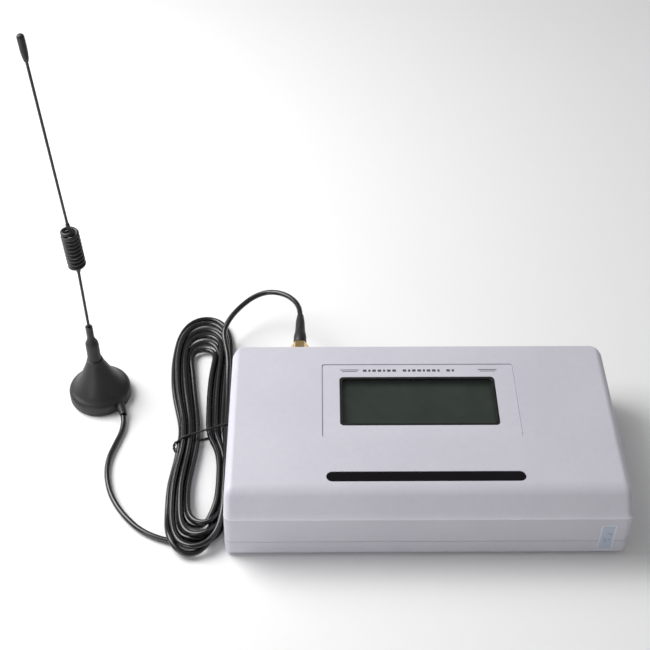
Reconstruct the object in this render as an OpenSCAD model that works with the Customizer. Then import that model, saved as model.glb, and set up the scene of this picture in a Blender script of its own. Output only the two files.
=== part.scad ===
// Desktop wireless terminal: low plastic case with a display window, a status
// light bar, rear sockets and a screw-on magnetic whip antenna with its cable.
// Origin: on the table, under the centre of the case. +X right, +Y to the rear, +Z up.

/* [Case] */
// Width of the case at its foot
body_w = 186.4; // [184:0.2:190]
// Height of the flat top above the table
body_top = 36; // [35:0.5:40]
// Wall thickness of the two shells
wall = 2.2; // [1.8:0.1:2.4]
// Height of the parting line above the table
seam_z = 10.6; // [10:0.1:11]
// Width of the parting groove
seam_gap = 0.2; // [0.2:0.1:0.4]

/* [Display] */
// Width of the recessed display panel
panel_w = 94; // [90:1:98]
// Depth of the recessed display panel, front to back
panel_d = 47; // [44:1:48]
// Width of the viewing window
view_w = 76; // [70:1:77]
// Depth of the viewing window, front to back
view_d = 31.4; // [26:0.2:32]
// Distance of the panel centre behind the case centre
panel_y = 14; // [12:1:15]

/* [Light bar] */
// Length of the light bar
bar_l = 91; // [80:1:92]
// Width of the light bar
bar_w = 5.6; // [4:0.2:6]
// Number of status lights
led_count = 6; // [2:1:6]

/* [Antenna] */
// Outer diameter of the magnetic base
base_dia = 31.5; // [28:0.5:34]
// Diameter of the lower whip
lower_dia = 1.4; // [1.2:0.1:1.6]
// Outer diameter of the spring coil
coil_dia = 8.8; // [8:0.2:9.4]
// Wire diameter of the spring coil
coil_wire = 1.7; // [1.5:0.1:1.8]
// Number of turns of the spring coil
coil_turns = 10; // [8:1:11]
// Sideways lean of the upper whip, in degrees
whip_lean = 2.8; // [0:0.2:4]

/* [Cable] */
// Diameter of the coaxial cable
cable_dia = 2.8; // [2.6:0.1:3]
// Height of the tied hank
hank_h = 12.6; // [11:0.2:13]

/* [Hidden] */
$fn = 48;

hw = body_w / 2;          // half width at the foot
yb = 50.5;                // rear face
yf = -51;                 // front face
zb = 1;                   // underside
zt = body_top;
cr = 10;                  // radius of the curved front edge
ca = 41;                  // slope of the flat below it
cy = -36.2;               // where the curve starts
ey = -49.9;               // where the slope ends, above the front face
panel_x = -0.7;           // panel, window and light bar sit a little left of the middle
view_x = -1.3;
bar_x = -0.5;
fl = 2.6;                 // floor thickness
e = 0.01;
view_y = panel_y - 0.4;
bar_y = -33.1;
port_z = 14.1;            // top of the main board
sma_x = -59.1;
sma_z = 24;
sw_x = 72;
sw_z = 19.4;
post_xy = [[84, 41], [-84, 41], [84, -41], [-84, -41]];
foot_xy = [[72, 38], [-72, 38], [72, -38], [-72, -38]];
board_xy = [[70, 28], [-70, 28], [70, -26], [-70, -26]];
disp_xy = [[44, -8.2], [-44, -8.2], [44, 35.4], [-44, 35.4]];
phone_x = [13, 30];
ant = [-163.2, 51];

function arc(cx, cy, r, a0, a1, n) = [for (i = [0:n]) let (a = a0 + (a1 - a0) * i / n) [cx + r * cos(a), cy + r * sin(a)]];
function rrect(w, d, r, n = 6) = concat(arc(w/2 - r, d/2 - r, r, 0, 90, n), arc(-w/2 + r, d/2 - r, r, 90, 180, n),
  arc(-w/2 + r, -d/2 + r, r, 180, 270, n), arc(w/2 - r, -d/2 + r, r, 270, 360, n));

module slab(w, d, h, r = 1, n = 4) { linear_extrude(h) polygon(rrect(w, d, r, n)); }
module stadium(l, w, h) {
  linear_extrude(h) union() {
    square([l - w, w], center = true);
    for (s = [-1, 1]) translate([s * (l - w) / 2, 0]) circle(d = w);
  }
}
// rod along +Y, starting at the given y
module rod_y(x, y0, z, r, l, fn = 48) { translate([x, y0, z]) rotate([-90, 0, 0]) cylinder(r = r, h = l, $fn = fn); }

// lower end of the sloped front, drawn in by o
function slope_end(o) = let (y = max(yf + o, ey + o * sin(ca)))
  [y, zt - cr + (cr - o) * cos(ca) - (cy - (cr - o) * sin(ca) - y) * tan(ca)];
// side, front and plan outlines of the case, drawn in by o
module side_outline(o) {
  polygon(concat([[yf + o + max(0, 1.6 - o), zb + o], [yb - o - max(0, 1.2 - o), zb + o], [yb - o, zb + o + max(0, 1.2 - o)]],
    arc(yb - o - max(0.2, 1.2 - o), zt - o - max(0.2, 1.2 - o), max(0.2, 1.2 - o), 0, 90, 4),
    arc(cy, zt - cr, cr - o, 90, 90 + ca, 8),
    [slope_end(o), [yf + o, slope_end(o)[1] - 0.4], [yf + o, zb + o + max(0, 1.6 - o)]]));
}
module front_outline(o) {
  polygon(concat([[-hw + o + max(0, 1.6 - o), zb + o], [hw - o - max(0, 1.6 - o), zb + o], [hw - o, zb + o + max(0, 1.6 - o)]],
    arc(hw - 4.6, zt - 4, max(0.3, 4 - o), 0, 90, 5),
    arc(-hw + 4.6, zt - 4, max(0.3, 4 - o), 90, 180, 5),
    [[-hw + o, zb + o + max(0, 1.6 - o)]]));
}
// plan of the case: round rear corners, tighter front corners
function plan(w, d, r, q) = concat(arc(w/2 - r, d/2 - r, r, 0, 90, 6), arc(-w/2 + r, d/2 - r, r, 90, 180, 6),
  arc(-w/2 + q, -d/2 + q, q, 180, 270, 5), arc(w/2 - q, -d/2 + q, q, 270, 360, 5));
module case_form(o) {
  intersection() {
    translate([-120, 0, 0]) rotate([90, 0, 90]) linear_extrude(240) side_outline(o);
    translate([0, 90, 0]) rotate([90, 0, 0]) linear_extrude(180) front_outline(o);
    translate([0, (yb + yf) / 2, -5]) linear_extrude(60) polygon(plan(body_w - 2 * o, yb - yf - 2 * o, max(1.5, 6 - o), max(1.3, 3.5 - o)));
  }
}
module band(z0, z1) { translate([-150, -150, z0]) cube([300, 300, z1 - z0]); }

module rear_ports() {
  rod_y(sma_x, yb - wall - 4, sma_z, 3.3, wall + 8);
  translate([-38.2, yb - wall - 1, port_z + 0.6]) cube([30.4, wall + 4, 3.9]);
  rod_y(-3.4, yb - wall - 1, port_z + 2.6, 1.7, wall + 4);
  for (x = phone_x) translate([x - 6.85, yb - wall - 1, port_z - 0.2]) cube([13.7, wall + 4, 12.2]);
  translate([50 - 4.7, yb - wall - 1, port_z - 0.2]) cube([9.4, wall + 4, 11.4]);
  translate([sw_x - 6.6, yb - wall - 1, sw_z - 4.4]) cube([13.2, wall + 4, 8.8]);
}

module top_cover() color([0.84, 0.83, 0.87]) {
  difference() {
    union() {
      difference() {
        intersection() { case_form(0); band(seam_z + seam_gap, 60); }
        intersection() { case_form(wall); band(-5, 60); }
      }
      // screw bosses, display bosses and light board bosses under the top
      intersection() {
        union() {
          for (p = post_xy) translate([p[0], p[1], 12.2]) cylinder(r = 3.2, h = zt - 13.5);
          for (p = disp_xy) translate([p[0], p[1], 27.9]) cylinder(r = 2.2, h = zt - 29);
          for (s = [-1, 1]) translate([bar_x + s * 49.7, bar_y, 26.7]) cylinder(r = 2.1, h = zt - 28);
        }
        case_form(wall - 0.4);
      }
    }
    for (p = post_xy) translate([p[0], p[1], 11]) cylinder(r = 1.3, h = 15);
    for (p = disp_xy) translate([p[0], p[1], 26]) cylinder(r = 0.95, h = 6.5);
    // panel recess, window and light bar slot
    translate([panel_x, panel_y, zt - 1]) slab(panel_w + 0.3, panel_d + 0.3, 4, 1.2);
    translate([view_x, view_y, zt - 4]) slab(80.4, 34.4, 6, 1);
    translate([bar_x, bar_y, zt - 4]) stadium(bar_l + 0.2, bar_w + 0.2, 8);
    rear_ports();
  }
}

module bottom_case() color([0.82, 0.81, 0.85]) {
  difference() {
    union() {
      difference() {
        intersection() { case_form(0); band(-2, seam_z); }
        intersection() { case_form(wall); band(zb + fl, 60); }
      }
      // inner lip
      difference() {
        intersection() { case_form(wall + 0.15); band(seam_z - 1.5, seam_z + 1.6); }
        intersection() { case_form(wall + 1.3); band(-5, 60); }
      }
      // webs that tie the lip to the wall
      difference() {
        intersection() { case_form(wall - 0.3); band(seam_z - 2.5, seam_z - 0.2); }
        intersection() { case_form(wall + 1.3); band(-5, 60); }
      }
      for (p = post_xy) translate([p[0], p[1], zb + 1]) cylinder(r = 3.9, h = 10);
      for (p = board_xy) translate([p[0], p[1], zb + fl - 0.5]) cylinder(r = 3, h = 12.5 - zb - fl + 0.5);
      // battery bay
      difference() {
        translate([-33.6, -23.6, zb + 0.5]) cube([67.2, 47.2, 10.9]);
        translate([-32, -22, zb - 1]) cube([64, 44, 11.2]);
      }
    }
    // way through the floor into the bay
    translate([-32, -22, -2]) cube([64, 44, 8]);
    // seat of the sliding cover, open to the rear, with a groove along each side
    translate([-34.2, -24.2, -2]) cube([68.4, 90, 4.8]);
    translate([-35.8, -24.2, 1.7]) cube([71.6, 90, 1.1]);
    for (p = post_xy) translate([p[0], p[1], -1]) { cylinder(r = 3, h = 8); cylinder(r = 1.55, h = 20); }
    for (p = board_xy) translate([p[0], p[1], 5]) cylinder(r = 0.95, h = 12);
    for (p = foot_xy) translate([p[0], p[1], -1]) cylinder(r = 5.2, h = 2.7);
  }
}

module battery_cover() color([0.8, 0.79, 0.83]) {
  difference() {
    union() {
      translate([-34, -24, 1.15]) cube([68, yb - 0.1 + 24, 1.45]);
      translate([-35.5, -24, 1.85]) cube([71, yb - 0.1 + 24, 0.75]);
    }
    // thumb grooves
    for (i = [0:4]) translate([-9, 33 + i * 2.4, 1]) cube([18, 1.1, 0.55]);
  }
}

module battery_pack() color([0.25, 0.45, 0.75]) {
  translate([0, 0, 3.0]) union() {
    slab(61, 41, 6.6, 3, 5);
    translate([-6, 20, 1.5]) cube([12, 1.6, 3.5]);
  }
}

module display_panel() color([0.86, 0.85, 0.88]) {
  difference() {
    translate([panel_x, panel_y, zt - 1]) slab(panel_w, panel_d, 0.6, 1.1);
    translate([view_x, view_y, zt - 2]) slab(view_w, view_d, 3, 2, 6);
  }
}
module display_window() color([0.35, 0.38, 0.36, 0.5]) { translate([view_x, view_y, zt - wall]) slab(80, 34, 1.2, 0.9); }
module lcd_frame() color([0.16, 0.16, 0.17]) {
  difference() {
    translate([view_x, view_y, 27.8]) slab(84, 38, 5.4, 1);
    translate([view_x, view_y, 27]) slab(82.4, 36.4, 5.6, 0.6);
    translate([view_x, view_y, 27]) slab(77.4, 32.4, 8, 0.5);
  }
}
module lcd_glass() color([0.2, 0.23, 0.2]) { translate([view_x, view_y, 30.6]) slab(82, 36, 1.9, 0.5); }
module backlight() color([0.7, 0.85, 0.5]) { translate([view_x, view_y, 27.9]) slab(81.6, 35.6, 2.6, 0.5); }
module display_board() color([0.1, 0.4, 0.2]) {
  difference() {
    translate([0, view_y, 26.2]) slab(94, 50, 1.6, 1.5);
    for (p = disp_xy) translate([p[0], p[1], 25]) cylinder(r = 1.1, h = 5);
  }
}
module small_screw(x, y, z, rs, ls, rh, hh, up) {
  translate([x, y, z]) rotate([up ? 0 : 180, 0, 0]) difference() {
    union() { cylinder(r = rh, h = hh); translate([0, 0, -ls]) cylinder(r = rs, h = ls + 0.2); }
    for (a = [0, 90]) rotate([0, 0, a]) translate([-rh * 0.6, -0.25, hh - 0.6]) cube([rh * 1.2, 0.5, 1]);
  }
}
module display_screws() color([0.75, 0.75, 0.77]) { for (p = disp_xy) small_screw(p[0], p[1], 26.2, 0.9, 5, 1.9, 1.3, false); }
module board_screws() color([0.75, 0.75, 0.77]) { for (p = board_xy) small_screw(p[0], p[1], port_z, 0.9, 6, 2.4, 1.4, true); }
module case_screws() color([0.7, 0.7, 0.72]) { for (p = post_xy) small_screw(p[0], p[1], 6.95, 1.25, 13, 2.6, 1.8, false); }

module light_bar_window() color([0.05, 0.04, 0.06]) {
  translate([bar_x, bar_y, zt - wall - 1.6]) union() {
    stadium(bar_l + 2.4, bar_w + 2.2, 1.5);
    stadium(bar_l, bar_w, wall + 1.3);
  }
}
module led_board() color([0.1, 0.4, 0.2]) {
  translate([bar_x, bar_y, 25]) slab(104, 9, 1.6, 1);
}
module status_leds() color([0.85, 0.3, 0.2]) {
  for (i = [0:led_count - 1]) translate([bar_x - 38 + i * 76 / (led_count - 1), bar_y, 26.6]) {
    cylinder(r = 1.9, h = 0.8);
    translate([0, 0, 0.8]) cylinder(r = 1.5, h = 2.2);
    translate([0, 0, 3]) sphere(r = 1.5);
  }
}

module main_board() color([0.1, 0.4, 0.2]) {
  difference() {
    translate([-78, -34, 12.5]) cube([156, 80.6, 1.6]);
    for (p = board_xy) translate([p[0], p[1], 10]) cylinder(r = 1.3, h = 6);
  }
}
module radio_shield() color([0.78, 0.78, 0.8]) {
  difference() {
    translate([-58, -6, port_z]) slab(33, 31, 3.2, 1);
    translate([-58, -6, port_z - 0.5]) slab(32.2, 30.2, 3.3, 0.7);
  }
}
module buzzer() color([0.08, 0.08, 0.09]) {
  translate([52, -12, port_z]) difference() { cylinder(r = 6, h = 8.4); translate([0, 0, 7]) cylinder(r = 1, h = 3); }
}
module ribbon_cable() color([0.85, 0.85, 0.88]) {
  translate([18, 0, 0]) rotate([90, 0, 90]) linear_extrude(20)
    polygon([[-22.4, 17.2], [-22, 17.2], [-22, 20.8], [-8, 22.6], [-8, 23.1], [-22.4, 21.2]]);
}
module ribbon_connectors() color([0.92, 0.9, 0.84]) {
  translate([16, -24.4, port_z]) cube([24, 4.4, 3]);
  translate([16, -8, 21.6]) cube([24, 4.6, 4.6]);
}

// sweep of a round section along a list of points, as one closed polyhedron
function unit(v) = v / norm(v);
function tan_at(p, i) = i == 0 ? unit(p[1] - p[0]) : i == len(p) - 1 ? unit(p[i] - p[i - 1]) : unit(unit(p[i + 1] - p[i]) + unit(p[i] - p[i - 1]));
function ring_at(p, i, r, n) = let (t = tan_at(p, i), s = unit(cross(t, [0.02, 0.01, 1])), u = cross(s, t))
  [for (k = [0:n - 1]) p[i] + r * (cos(360 * k / n) * s + sin(360 * k / n) * u)];
module sweep(p, r, n = 8) {
  m = len(p);
  pts = [for (i = [0:m - 1]) each ring_at(p, i, r, n)];
  polyhedron(points = pts, faces = concat([[for (k = [0:n - 1]) n - 1 - k]], [[for (k = [0:n - 1]) (m - 1) * n + k]],
    [for (i = [0:m - 2], k = [0:n - 1]) [i * n + (k + 1) % n, i * n + n + (k + 1) % n, i * n + n + k, i * n + k]]), convexity = 6);
}
// Catmull-Rom points between the route's own points, s of them a span
function cr(a, b, c, d, t) = 0.5 * ((2 * b) + (c - a) * t + (2 * a - 5 * b + 4 * c - d) * t * t + (3 * b - a - 3 * c + d) * t * t * t);
function smooth(p, s) = concat([for (i = [0:len(p) - 2], j = [0:s - 1]) cr(p[max(0, i - 1)], p[i], p[i + 1], p[min(len(p) - 1, i + 2)], j / s)], [p[len(p) - 1]]);

pigtail_route = [[-59.1, 41, 24], [-59.1, 36, 24], [-59.5, 28, 22.5], [-61, 18, 20], [-61, 9, 18.8], [-60, 2, 18.6], [-58, -3, 18.2]];
module antenna_pigtail() color([0.2, 0.2, 0.22]) {
  sweep(smooth(pigtail_route, 2), 0.6);
  translate([-58, -4, port_z + 3.25]) cylinder(r = 1.3, h = 1.2);
}

module sim_holder() color([0.88, 0.88, 0.9]) {
  difference() {
    union() {
      translate([-39.2, 18, port_z]) cube([32.4, 30, 4.9]);
      translate([-7.2, 44.8, port_z]) cube([6.6, 2.8, 5]);
    }
    rod_y(-3.4, 40, port_z + 2.6, 1.65, 12);
    translate([-37.8, 19.5, port_z + 0.9]) cube([29.6, 40, 3.1]);
    translate([-34, 22, port_z + 3]) cube([22, 18, 5]);
  }
}
module sim_tray() color([0.2, 0.2, 0.22]) {
  difference() {
    union() {
      translate([-37.4, 20.5, port_z + 1.3]) cube([28.8, 29.9, 2.3]);
      translate([-37.9, yb - 1.8, port_z + 0.9]) cube([29.8, 2.2, 3.3]);
    }
    translate([-35.6, 23, port_z + 2.4]) cube([25.2, 15.2, 3]);
    translate([-32, 26, port_z]) cube([18, 9, 6]);
  }
}
module sim_card() color([0.9, 0.75, 0.3]) {
  difference() {
    translate([-35.5, 23.1, port_z + 2.4]) cube([25, 15, 0.8]);
    translate([-10.5, 38.1, port_z + 2]) rotate([0, 0, 45]) cube([4, 4, 4], center = true);
  }
}
module sim_eject_button() color([0.9, 0.8, 0.2]) {
  union() {
    rod_y(-3.4, 42, port_z + 2.6, 1.3, yb - 42 + 0.6);
    rod_y(-3.4, 41, port_z + 2.6, 2.1, 3);
  }
}

module phone_socket(x) {
  difference() {
    translate([x - 6.6, 33.6, port_z]) cube([13.2, yb + 0.2 - 33.6, 11.6]);
    translate([x - 4.9, 38.6, port_z + 1.9]) cube([9.8, 20, 6.9]);
    translate([x - 3.1, 38.6, port_z + 8]) cube([6.2, 20, 2.1]);
    for (i = [-1.5:1:1.5]) translate([x + i * 1.02 - 0.25, 36.5, port_z + 1.2]) cube([0.5, 9, 1.4]);
  }
}
module phone_socket_left() color([0.12, 0.12, 0.13]) phone_socket(phone_x[0]);
module phone_socket_right() color([0.12, 0.12, 0.13]) phone_socket(phone_x[1]);
module dc_jack() color([0.1, 0.1, 0.11]) {
  union() {
    difference() {
      translate([45.5, 36.4, port_z]) cube([9, yb - 0.2 - 36.4, 11]);
      rod_y(50, 40.9, port_z + 6, 3, 20);
    }
    rod_y(50, 39, port_z + 6, 1, 9.5);
  }
}

module switch_housing() color([0.07, 0.07, 0.08]) {
  difference() {
    union() {
      translate([sw_x - 7.6, yb, sw_z - 5.4]) cube([15.2, 1.4, 10.8]);
      translate([sw_x - 6.4, 39, sw_z - 4.2]) cube([12.8, yb - 39 + 0.5, 8.4]);
    }
    translate([sw_x - 5.5, 43.2, sw_z - 3.2]) cube([11, 20, 6.4]);
    translate([sw_x, 48.6, sw_z - 4.1]) cylinder(r = 0.7, h = 8.2);
  }
}
// rocker profile at rest: one end pressed in against the stop
module switch_rocker() color([0.1, 0.1, 0.11]) {
  translate([sw_x, 48.6, sw_z]) rotate([0, 0, -9]) union() {
    translate([0, 0, -2.9]) linear_extrude(5.8) polygon([[-4.6, 1.5], [-4.6, 4.3], [-2.4, 3.5], [0, 3.15], [2.4, 3.5], [4.6, 4.3], [4.6, 1.5], [1.6, -2.2], [-1.6, -2.2]]);
    translate([0, 0, -3.9]) cylinder(r = 0.65, h = 7.8);
  }
}

module sma_jack() color([0.85, 0.7, 0.3]) {
  difference() {
    union() {
      rod_y(sma_x, 44.8, sma_z, 3.175, 16.2);
      rod_y(sma_x, 45.6, sma_z, 4.6, yb - wall - 45.6, 6);
      rod_y(sma_x, 41, sma_z, 1.8, 4);
    }
    rod_y(sma_x, 54.2, sma_z, 2.35, 8);
    rod_y(sma_x, 50, sma_z, 0.6, 12);
  }
}
module sma_lock_washer() color([0.8, 0.8, 0.82]) {
  difference() { rod_y(sma_x, yb, sma_z, 4.7, 0.5); rod_y(sma_x, yb - 1, sma_z, 3.3, 3); }
}
module sma_jack_nut() color([0.85, 0.7, 0.3]) {
  difference() { rod_y(sma_x, yb + 0.5, sma_z, 4.6, 2, 6); rod_y(sma_x, yb - 1, sma_z, 3.25, 6); }
}
module sma_coupling_nut() color([0.85, 0.68, 0.3]) {
  difference() {
    rod_y(sma_x, 53.8, sma_z, 4.6, 8.6, 6);
    rod_y(sma_x, 53, sma_z, 3.25, 8.6);
    rod_y(sma_x, 60, sma_z, 3, 5);
  }
}
module sma_plug_body() color([0.85, 0.68, 0.3]) {
  difference() {
    union() {
      rod_y(sma_x, 56, sma_z, 2.3, 6);
      rod_y(sma_x, 61.1, sma_z, 2.95, 7.4);
    }
    rod_y(sma_x, 55, sma_z, 1.9, 5.6);
    rod_y(sma_x, 58, sma_z, 0.46, 6);
  }
}
module sma_plug_pin() color([0.9, 0.75, 0.35]) { rod_y(sma_x, 55.2, sma_z, 0.45, 7); }
module plug_boot() color([0.05, 0.05, 0.06]) {
  translate([sma_x, 68.5, sma_z]) rotate([-90, 0, 0]) rotate_extrude()
    polygon([[0, 0], [2.45, 0], [2.55, 1.5], [2.35, 4], [2.3, 12], [1.9, 15.6], [1.75, 16], [0, 16]]);
}

lead_route = [[-59.1, 84.5, 24], [-59.2, 91, 23.8], [-60.8, 98, 22.8], [-65, 105, 21], [-71.5, 109.4, 19],
  [-79, 109.4, 17.2], [-86.4, 105, 15.6], [-92.4, 98, 14.2], [-97, 90, 13], [-100, 82, 11.6]];
far_route = [[-112, -45, 2], [-120, -43.4, 1.6], [-128, -40.4, 1.5], [-135, -36, 1.5], [-141, -30, 1.5], [-146, -23.4, 1.5],
  [-150, -16, 1.5], [-152.6, -8, 1.5], [-153.8, 0, 1.5], [-153.4, 8, 1.5], [-151.4, 16, 1.5], [-149.4, 23.6, 1.6],
  [-149, 31, 2.2], [-151, 38.4, 3.4]];
module cable_lead_plug() color([0.04, 0.04, 0.05]) sweep(smooth(lead_route, 2), cable_dia / 2);
module cable_lead_antenna() color([0.04, 0.04, 0.05]) sweep(smooth(far_route, 2), cable_dia / 2);
hank_x = -110.9;
hank_w = 32.4;
module hank_form(g) {
  translate([hank_x, 24, g]) linear_extrude(hank_h - 2 * g) union() {
    square([hank_w - 2 * g, 158 - hank_w], center = true);
    for (s = [-1, 1]) translate([0, s * (158 - hank_w) / 2]) circle(d = hank_w - 2 * g);
  }
}
module cable_hank() color([0.04, 0.04, 0.05]) {
  difference() {
    hank_form(0);
    difference() { translate([-150, 15.4, -2]) cube([80, 3.2, 30]); hank_form(1); }
  }
}
module cable_tie() color([0.03, 0.03, 0.04]) {
  union() {
    intersection() {
      translate([-150, 15.6, -2]) cube([80, 2.8, 30]);
      difference() { hank_form(0); hank_form(1); }
    }
    translate([-104, 17, hank_h - 0.2]) cylinder(r = 1.4, h = 1.6);
  }
}

module antenna_base() color([0.05, 0.05, 0.06]) {
  difference() {
    union() {
      translate([ant[0], ant[1], 0]) rotate_extrude() polygon(concat(
        [[0, 0.6], [base_dia / 2 - 0.4, 0.6], [base_dia / 2, 1.2], [base_dia / 2, 5.2]],
        arc(base_dia / 2 - 2.2, 5.2, 2.2, 15, 62, 4),
        [[12.2, 9.2], [10.4, 11.8], [8.6, 15], [7, 18.4], [5.4, 22], [4.2, 24.6], [3.7, 27.2], [0, 27.2]]));
      // cable inlet
      translate([-151, 38.4, 3.4]) rotate([-90, 0, 20]) cylinder(r = 2.3, h = 4.5);
    }
    translate([ant[0], ant[1], 0]) { translate([0, 0, -1]) cylinder(r = 12.2, h = 6.8); cylinder(r = 1.3, h = 30); }
  }
}
module base_magnet() color([0.3, 0.3, 0.32]) {
  translate([ant[0], ant[1], 0.6]) difference() { cylinder(r = 12.1, h = 4.8); translate([0, 0, -1]) cylinder(r = 3, h = 8); }
}
module base_pad() color([0.12, 0.12, 0.13]) { translate([ant[0], ant[1], 0]) cylinder(r = base_dia / 2 - 0.5, h = 0.6); }
module mast_boot() color([0.05, 0.05, 0.06]) {
  translate([ant[0], ant[1], 0]) rotate_extrude() polygon([[1.3, 27.2], [3.5, 27.2], [3.3, 30], [3.3, 37.4], [3, 39], [2.2, 40.4], [1.95, 42], [1.3, 42]]);
}
module mast_ferrule() color([0.12, 0.12, 0.12]) {
  translate([ant[0], ant[1], 42]) difference() {
    union() {
      cylinder(r = 1.8, h = 7.6);
      translate([0, 0, -26]) cylinder(r = 1.27, h = 27);
    }
    translate([0, 0, -22]) cylinder(r = lower_dia / 2 + 0.02, h = 40);
  }
}
coil_z0 = 88.5;
coil_z1 = 112.5;
coil_r = (coil_dia - coil_wire) / 2;
coil_shift = -0.5;
module lower_whip() color([0.06, 0.06, 0.07]) {
  translate([ant[0], ant[1], 20]) cylinder(d = lower_dia, h = coil_z0 - 22);
}
// helix with its two ends drawn in to the axis
function coil_pt(t) = let (a = 360 * coil_turns * t) [ant[0] + coil_shift * (2 * t) + coil_r * cos(a), ant[1] + coil_r * sin(a), coil_z0 + coil_wire / 2 + (coil_z1 - coil_z0 - coil_wire) * t];
module spring_coil() color([0.05, 0.05, 0.06]) {
  steps = coil_turns * 12;
  sweep(concat([[ant[0], ant[1], coil_z0 - 0.9], [ant[0] + coil_r * 0.55, ant[1] - 0.6, coil_z0 + 0.2]], [for (i = [0:steps]) coil_pt(i / steps)],
    [[ant[0] - 1 + coil_r * 0.55, ant[1] + 0.5, coil_z1 + 0.2], [ant[0] - 1.05, ant[1], coil_z1 + 1.3]]), coil_wire / 2, 6);
}
module upper_whip() color([0.06, 0.06, 0.07]) {
  translate([ant[0] - 1.05, ant[1], coil_z1 + 1.3]) rotate([0, -whip_lean, 0]) cylinder(d = 1.3, h = 92);
}
module tip_cap() color([0.04, 0.04, 0.05]) {
  translate([ant[0] - 1.05, ant[1], coil_z1 + 1.3]) rotate([0, -whip_lean, 0]) difference() {
    translate([0, 0, 88]) rotate_extrude() polygon(concat([[0, 0], [0.95, 0], [1.3, 1.2], [1.6, 4], [1.65, 11.6]], arc(0.45, 11.6, 1.2, 10, 90, 5), [[0, 12.8]]));
    translate([0, 0, 80]) cylinder(d = 1.32, h = 12.05);
  }
}

module rubber_feet() color([0.15, 0.15, 0.16]) {
  for (p = foot_xy) translate([p[0], p[1], 0]) difference() {
    union() { translate([0, 0, 0.4]) cylinder(r = 5, h = 1.2); cylinder(r1 = 4.6, r2 = 5, h = 0.41); }
    translate([0, 0, -0.5]) cylinder(r = 1.5, h = 1);
  }
}
module seal_sticker() color([0.6, 0.65, 0.78]) {
  translate([82.2, yf, 13.3]) translate([-3.45, -0.2, -9.2]) cube([6.9, 0.2, 18.4]);
}

top_cover();
bottom_case();
display_panel();
display_window();
lcd_frame();
lcd_glass();
backlight();
display_board();
display_screws();
light_bar_window();
led_board();
status_leds();
main_board();
board_screws();
radio_shield();
sim_holder();
sim_tray();
sim_card();
sim_eject_button();
phone_socket_left();
phone_socket_right();
dc_jack();
switch_housing();
switch_rocker();
battery_pack();
battery_cover();
buzzer();
ribbon_cable();
ribbon_connectors();
antenna_pigtail();
sma_jack();
sma_lock_washer();
sma_jack_nut();
case_screws();
rubber_feet();
seal_sticker();
sma_plug_body();
sma_plug_pin();
sma_coupling_nut();
plug_boot();
cable_lead_plug();
cable_hank();
cable_lead_antenna();
cable_tie();
antenna_base();
base_magnet();
base_pad();
mast_boot();
mast_ferrule();
lower_whip();
spring_coil();
upper_whip();
tip_cap();
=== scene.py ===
# Looks for the desktop wireless terminal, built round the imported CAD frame.
import math

import bmesh
import bpy
import numpy as np
from mathutils import Matrix, Vector


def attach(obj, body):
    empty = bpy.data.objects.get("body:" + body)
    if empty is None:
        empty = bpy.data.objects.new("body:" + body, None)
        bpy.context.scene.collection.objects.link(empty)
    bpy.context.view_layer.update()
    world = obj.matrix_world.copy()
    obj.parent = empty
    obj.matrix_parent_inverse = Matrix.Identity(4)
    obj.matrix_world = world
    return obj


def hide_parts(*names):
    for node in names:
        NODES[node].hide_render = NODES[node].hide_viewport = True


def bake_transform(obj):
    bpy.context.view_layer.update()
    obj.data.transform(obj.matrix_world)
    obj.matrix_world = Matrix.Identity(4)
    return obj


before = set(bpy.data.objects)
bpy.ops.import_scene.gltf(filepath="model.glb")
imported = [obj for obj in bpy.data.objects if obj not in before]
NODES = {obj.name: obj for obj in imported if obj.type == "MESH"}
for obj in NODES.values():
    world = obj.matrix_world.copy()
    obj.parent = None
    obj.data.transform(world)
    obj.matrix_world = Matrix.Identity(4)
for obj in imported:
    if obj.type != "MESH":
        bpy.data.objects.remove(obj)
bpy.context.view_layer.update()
MM = 0.001
scene = bpy.context.scene

# ---------------------------------------------------------------- camera
cam_data = bpy.data.cameras.new("camera")
cam = bpy.data.objects.new("camera", cam_data)
scene.collection.objects.link(cam)
cam.location = (-0.04846, -0.39050, 0.48162)
cam.rotation_euler = (math.radians(90 - 44.34), 0, math.radians(-0.29))
cam_data.lens = 69.05
cam_data.sensor_width = 36
cam_data.clip_start = 0.01
cam_data.clip_end = 20
scene.camera = cam


# ---------------------------------------------------------------- mesh helpers
def link(name, mesh):
    ob = bpy.data.objects.new(name, mesh)
    scene.collection.objects.link(ob)
    return ob


def mesh_obj(name, verts, faces, scale=MM):
    me = bpy.data.meshes.new(name)
    me.from_pydata([tuple(c * scale for c in v) for v in verts], [], [tuple(int(i) for i in f) for f in faces])
    me.validate()
    me.update()
    return link(name, me)


def fix_normals(ob):
    bm = bmesh.new()
    bm.from_mesh(ob.data)
    bmesh.ops.recalc_face_normals(bm, faces=bm.faces)
    bm.to_mesh(ob.data)
    bm.free()
    return ob


def smooth(ob, angle=32.0):
    ob.data.shade_smooth()
    ob.data.set_sharp_from_angle(angle=math.radians(angle))
    return ob


def bevel(ob, width, segments=2, angle=35.0):
    m = ob.modifiers.new("edge", "BEVEL")
    m.width = width * MM
    m.segments = segments
    m.limit_method = "ANGLE"
    m.angle_limit = math.radians(angle)
    m.harden_normals = False
    w = ob.modifiers.new("normals", "WEIGHTED_NORMAL")
    w.keep_sharp = True
    return ob


def frames(pts):
    """Directions across a line of points that turn as little as they can."""
    n = len(pts)
    t = np.zeros((n, 3))
    t[1:-1] = pts[2:] - pts[:-2]
    t[0], t[-1] = pts[1] - pts[0], pts[-1] - pts[-2]
    t /= np.linalg.norm(t, axis=1)[:, None]
    a = np.array([0.0, 0.0, 1.0]) if abs(t[0][2]) < 0.9 else np.array([1.0, 0.0, 0.0])
    u = np.cross(t[0], a)
    u /= np.linalg.norm(u)
    us = [u]
    for i in range(1, n):
        u = us[-1] - (us[-1] @ t[i]) * t[i]
        us.append(u / np.linalg.norm(u))
    us = np.array(us)
    return t, us, np.cross(t, us)


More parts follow.
